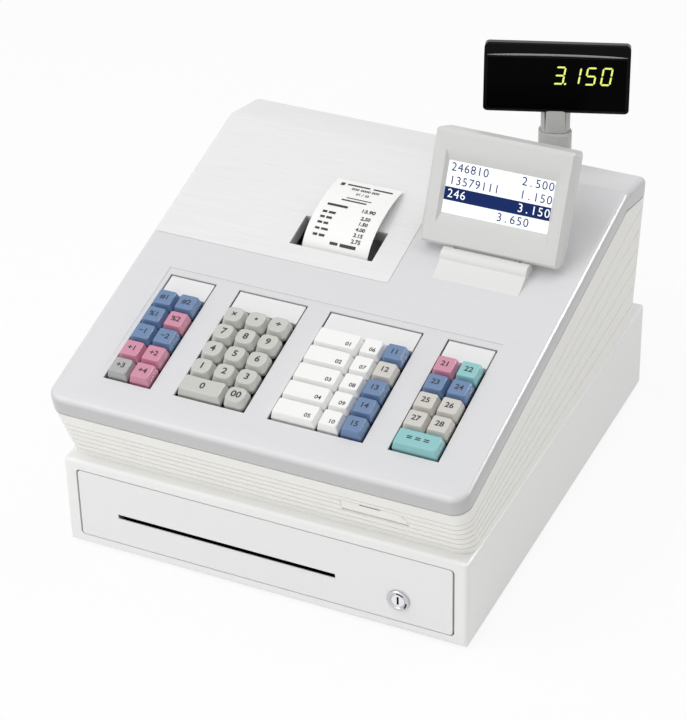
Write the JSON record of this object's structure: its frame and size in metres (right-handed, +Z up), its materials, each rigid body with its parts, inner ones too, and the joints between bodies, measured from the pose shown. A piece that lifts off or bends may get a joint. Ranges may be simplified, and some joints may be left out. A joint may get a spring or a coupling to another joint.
{
  "type": "cash register on a cash drawer",
  "caption": "Electronic cash register with a sloping keyboard, a receipt printer, a tilting operator display and a swivelling customer display, on a sliding cash drawer.",
  "frame": {"origin": "on the floor, under the middle of the whole register's outline", "axes": "+Z up, -Y towards the operator, +X to the operator's right"},
  "size_m": [0.359, 0.4081, 0.3324],
  "materials": {
    "cabinet_enamel": "fine satin enamel on sheet steel",
    "drawer_front_enamel": "satin enamel",
    "black_rubber": "dull moulded rubber",
    "galvanised_steel": "galvanised sheet steel",
    "tray_plastic": "injection moulded, fine grain",
    "clip_steel": "zinc plated",
    "lock_chrome": "polished chrome",
    "spring_steel": "spring wire",
    "case_ivory": "fine-grained ABS",
    "cover_grey": "fine-grained ABS",
    "printer_cover_grey": "brushed-look satin ABS",
    "frame_plastic": "moulded",
    "aluminium_head": "extruded heat sink",
    "platen_rubber": "ground rubber",
    "thermal_paper": "smooth paper",
    "circuit_board": "solder mask",
    "core_steel": "laminated core",
    "contact_rubber": "silicone sheet",
    "filler_plastic": "moulded",
    "stand_plastic": "satin ABS",
    "display_case_grey": "satin ABS",
    "lcd_glass": "polarised display glass",
    "mast_grey": "satin ABS",
    "gloss_black": "polished ABS",
    "smoked_window": "smoked acrylic",
    "key_blue": "moulded key top",
    "key_pink": "moulded key top",
    "key_putty": "moulded key top",
    "key_white": "moulded key top",
    "key_beige": "moulded key top",
    "key_teal": "moulded key top"
  },
  "bodies": {
    "base": {"drawer_cabinet": "cabinet_enamel", "rubber_feet": "black_rubber", "drawer_runners": "galvanised_steel", "eject_spring": "spring_steel", "lower_case": "case_ivory", "upper_cover": "cover_grey", "paper_cradle": "frame_plastic", "print_head": "aluminium_head", "main_board": "circuit_board", "power_transformer": "core_steel", "key_contact_sheet": "contact_rubber", "window_fillers": "filler_plastic", "display_stand": "stand_plastic"},
    "drawer": {"drawer_box": "galvanised_steel", "drawer_front": "drawer_front_enamel", "cash_tray": "tray_plastic", "lock_barrel": "lock_chrome"},
    "lock_plug": {"lock_plug": "lock_chrome"},
    "latch_lever": {"latch_lever": "galvanised_steel"},
    "printer_cover": {"printer_cover": "printer_cover_grey", "receipt": "thermal_paper"},
    "platen_roller": {"platen_roller": "platen_rubber"},
    "paper_roll": {"paper_roll": "thermal_paper"},
    "operator_display": {"operator_display_case": "display_case_grey", "lcd_panel": "lcd_glass"},
    "display_mast": {"display_mast": "mast_grey"},
    "customer_display": {"customer_display_case": "gloss_black", "customer_display_window": "smoked_window"},
    "card_door": {"card_door": "case_ivory"},
    "note_clip_1": {"note_clip_1": "clip_steel"},
    "note_clip_2": {"note_clip_2": "clip_steel"},
    "note_clip_3": {"note_clip_3": "clip_steel"},
    "note_clip_4": {"note_clip_4": "clip_steel"},
    "left_keys_row_1": {"left_keys_row_1": "key_blue"},
    "left_keys_row_2": {"left_keys_row_2": "key_blue"},
    "left_keys_row_3": {"left_keys_row_3": "key_blue"},
    "left_keys_row_4": {"left_keys_row_4": "key_pink"},
    "left_keys_row_5": {"left_keys_row_5": "key_pink"},
    "function_keys_row": {"function_keys_row": "key_putty"},
    "key_7": {"key_7": "key_putty"},
    "key_8": {"key_8": "key_putty"},
    "key_9": {"key_9": "key_putty"},
    "key_4": {"key_4": "key_putty"},
    "key_5": {"key_5": "key_putty"},
    "key_6": {"key_6": "key_putty"},
    "key_1": {"key_1": "key_putty"},
    "key_2": {"key_2": "key_putty"},
    "key_3": {"key_3": "key_putty"},
    "key_0": {"key_0": "key_putty"},
    "key_00": {"key_00": "key_putty"},
    "centre_keys_row_1": {"centre_keys_row_1": "key_white"},
    "centre_keys_row_2": {"centre_keys_row_2": "key_white"},
    "centre_keys_row_3": {"centre_keys_row_3": "key_white"},
    "centre_keys_row_4": {"centre_keys_row_4": "key_white"},
    "centre_keys_row_5": {"centre_keys_row_5": "key_white"},
    "right_keys_row_1": {"right_keys_row_1": "key_pink"},
    "right_keys_row_2": {"right_keys_row_2": "key_blue"},
    "right_keys_row_3": {"right_keys_row_3": "key_beige"},
    "right_keys_row_4": {"right_keys_row_4": "key_beige"},
    "total_key": {"total_key": "key_teal"}
  },
  "joints": [
    {"name": "drawer_slide", "type": "slide", "parent": "base", "child": "drawer", "axis": [0, -1, 0], "range_m": [0, 0.29]},
    {"name": "note_clip_1_lift", "type": "hinge", "parent": "drawer", "child": "note_clip_1", "pos_m": [-0.10969, 0.1027, 0.0497], "axis": [-1, 0, 0], "range_deg": [0, 22]},
    {"name": "note_clip_2_lift", "type": "hinge", "parent": "drawer", "child": "note_clip_2", "pos_m": [-0.03656, 0.1027, 0.0497], "axis": [-1, 0, 0], "range_deg": [0, 22]},
    {"name": "note_clip_3_lift", "type": "hinge", "parent": "drawer", "child": "note_clip_3", "pos_m": [0.03656, 0.1027, 0.0497], "axis": [-1, 0, 0], "range_deg": [0, 22]},
    {"name": "note_clip_4_lift", "type": "hinge", "parent": "drawer", "child": "note_clip_4", "pos_m": [0.10969, 0.1027, 0.0497], "axis": [-1, 0, 0], "range_deg": [0, 22]},
    {"name": "lock_turn", "type": "hinge", "parent": "drawer", "child": "lock_plug", "pos_m": [0.1167, -0.19, 0.0317], "axis": [0, -1, 0], "range_deg": [-90, 0]},
    {"name": "latch_lift", "type": "hinge", "parent": "base", "child": "latch_lever", "pos_m": [-0.07, 0.195, 0.0595], "axis": [-1, 0, 0], "range_deg": [0, 8]},
    {"name": "printer_cover_hinge", "type": "hinge", "parent": "base", "child": "printer_cover", "pos_m": [0, 0.1736, 0.212], "axis": [-1, 0, 0], "range_deg": [0, 60]},
    {"name": "platen_spin", "type": "hinge", "parent": "printer_cover", "child": "platen_roller", "pos_m": [-0.0245, -0.0014, 0.186], "axis": [1, 0, 0], "continuous": true},
    {"name": "paper_roll_spin", "type": "hinge", "parent": "base", "child": "paper_roll", "pos_m": [-0.0245, 0.099, 0.149], "axis": [1, 0, 0], "continuous": true},
    {"name": "operator_display_tilt", "type": "hinge", "parent": "base", "child": "operator_display", "pos_m": [0.1008, 0.02, 0.2113], "axis": [-1, 0, 0], "range_deg": [-13.6, 10]},
    {"name": "mast_slide", "type": "slide", "parent": "base", "child": "display_mast", "axis": [0, 0, -1], "range_m": [0, 0.028]},
    {"name": "customer_display_swivel", "type": "hinge", "parent": "display_mast", "child": "customer_display", "pos_m": [0.1036, 0.161, 0.2595], "axis": [0, 0, 1], "range_deg": [-109, 161]},
    {"name": "card_door_hinge", "type": "hinge", "parent": "base", "child": "card_door", "pos_m": [0.098, -0.18781, 0.1057], "axis": [1, 0, 0], "range_deg": [0, 70]},
    {"name": "left_keys_row_1_press", "type": "slide", "parent": "base", "child": "left_keys_row_1", "axis": [0, 0.2419, -0.9703], "range_m": [0, 0.0022], "stiffness_N_per_m": 150, "springref_m": -0.002},
    {"name": "left_keys_row_2_press", "type": "slide", "parent": "base", "child": "left_keys_row_2", "axis": [0, 0.2419, -0.9703], "range_m": [0, 0.0022], "stiffness_N_per_m": 150, "springref_m": -0.002},
    {"name": "left_keys_row_3_press", "type": "slide", "parent": "base", "child": "left_keys_row_3", "axis": [0, 0.2419, -0.9703], "range_m": [0, 0.0022], "stiffness_N_per_m": 150, "springref_m": -0.002},
    {"name": "left_keys_row_4_press", "type": "slide", "parent": "base", "child": "left_keys_row_4", "axis": [0, 0.2419, -0.9703], "range_m": [0, 0.0022], "stiffness_N_per_m": 150, "springref_m": -0.002},
    {"name": "left_keys_row_5_press", "type": "slide", "parent": "base", "child": "left_keys_row_5", "axis": [0, 0.2419, -0.9703], "range_m": [0, 0.0022], "stiffness_N_per_m": 150, "springref_m": -0.002},
    {"name": "function_keys_row_press", "type": "slide", "parent": "base", "child": "function_keys_row", "axis": [0, 0.2419, -0.9703], "range_m": [0, 0.0022], "stiffness_N_per_m": 150, "springref_m": -0.002},
    {"name": "key_7_press", "type": "slide", "parent": "base", "child": "key_7", "axis": [0, 0.2419, -0.9703], "range_m": [0, 0.0022], "stiffness_N_per_m": 150, "springref_m": -0.002},
    {"name": "key_8_press", "type": "slide", "parent": "base", "child": "key_8", "axis": [0, 0.2419, -0.9703], "range_m": [0, 0.0022], "stiffness_N_per_m": 150, "springref_m": -0.002},
    {"name": "key_9_press", "type": "slide", "parent": "base", "child": "key_9", "axis": [0, 0.2419, -0.9703], "range_m": [0, 0.0022], "stiffness_N_per_m": 150, "springref_m": -0.002},
    {"name": "key_4_press", "type": "slide", "parent": "base", "child": "key_4", "axis": [0, 0.2419, -0.9703], "range_m": [0, 0.0022], "stiffness_N_per_m": 150, "springref_m": -0.002},
    {"name": "key_5_press", "type": "slide", "parent": "base", "child": "key_5", "axis": [0, 0.2419, -0.9703], "range_m": [0, 0.0022], "stiffness_N_per_m": 150, "springref_m": -0.002},
    {"name": "key_6_press", "type": "slide", "parent": "base", "child": "key_6", "axis": [0, 0.2419, -0.9703], "range_m": [0, 0.0022], "stiffness_N_per_m": 150, "springref_m": -0.002},
    {"name": "key_1_press", "type": "slide", "parent": "base", "child": "key_1", "axis": [0, 0.2419, -0.9703], "range_m": [0, 0.0022], "stiffness_N_per_m": 150, "springref_m": -0.002},
    {"name": "key_2_press", "type": "slide", "parent": "base", "child": "key_2", "axis": [0, 0.2419, -0.9703], "range_m": [0, 0.0022], "stiffness_N_per_m": 150, "springref_m": -0.002},
    {"name": "key_3_press", "type": "slide", "parent": "base", "child": "key_3", "axis": [0, 0.2419, -0.9703], "range_m": [0, 0.0022], "stiffness_N_per_m": 150, "springref_m": -0.002},
    {"name": "key_0_press", "type": "slide", "parent": "base", "child": "key_0", "axis": [0, 0.2419, -0.9703], "range_m": [0, 0.0022], "stiffness_N_per_m": 150, "springref_m": -0.002},
    {"name": "key_00_press", "type": "slide", "parent": "base", "child": "key_00", "axis": [0, 0.2419, -0.9703], "range_m": [0, 0.0022], "stiffness_N_per_m": 150, "springref_m": -0.002},
    {"name": "centre_keys_row_1_press", "type": "slide", "parent": "base", "child": "centre_keys_row_1", "axis": [0, 0.2419, -0.9703], "range_m": [0, 0.0022], "stiffness_N_per_m": 150, "springref_m": -0.002},
    {"name": "centre_keys_row_2_press", "type": "slide", "parent": "base", "child": "centre_keys_row_2", "axis": [0, 0.2419, -0.9703], "range_m": [0, 0.0022], "stiffness_N_per_m": 150, "springref_m": -0.002},
    {"name": "centre_keys_row_3_press", "type": "slide", "parent": "base", "child": "centre_keys_row_3", "axis": [0, 0.2419, -0.9703], "range_m": [0, 0.0022], "stiffness_N_per_m": 150, "springref_m": -0.002},
    {"name": "centre_keys_row_4_press", "type": "slide", "parent": "base", "child": "centre_keys_row_4", "axis": [0, 0.2419, -0.9703], "range_m": [0, 0.0022], "stiffness_N_per_m": 150, "springref_m": -0.002},
    {"name": "centre_keys_row_5_press", "type": "slide", "parent": "base", "child": "centre_keys_row_5", "axis": [0, 0.2419, -0.9703], "range_m": [0, 0.0022], "stiffness_N_per_m": 150, "springref_m": -0.002},
    {"name": "right_keys_row_1_press", "type": "slide", "parent": "base", "child": "right_keys_row_1", "axis": [0, 0.2419, -0.9703], "range_m": [0, 0.0022], "stiffness_N_per_m": 150, "springref_m": -0.002},
    {"name": "right_keys_row_2_press", "type": "slide", "parent": "base", "child": "right_keys_row_2", "axis": [0, 0.2419, -0.9703], "range_m": [0, 0.0022], "stiffness_N_per_m": 150, "springref_m": -0.002},
    {"name": "right_keys_row_3_press", "type": "slide", "parent": "base", "child": "right_keys_row_3", "axis": [0, 0.2419, -0.9703], "range_m": [0, 0.0022], "stiffness_N_per_m": 150, "springref_m": -0.002},
    {"name": "right_keys_row_4_press", "type": "slide", "parent": "base", "child": "right_keys_row_4", "axis": [0, 0.2419, -0.9703], "range_m": [0, 0.0022], "stiffness_N_per_m": 150, "springref_m": -0.002},
    {"name": "total_key_press", "type": "slide", "parent": "base", "child": "total_key", "axis": [0, 0.2419, -0.9703], "range_m": [0, 0.0022], "stiffness_N_per_m": 150, "springref_m": -0.002}
  ],
  "couplings": [
    {"joint": "platen_spin", "follows": "paper_roll_spin", "ratio": 6}
  ]
}
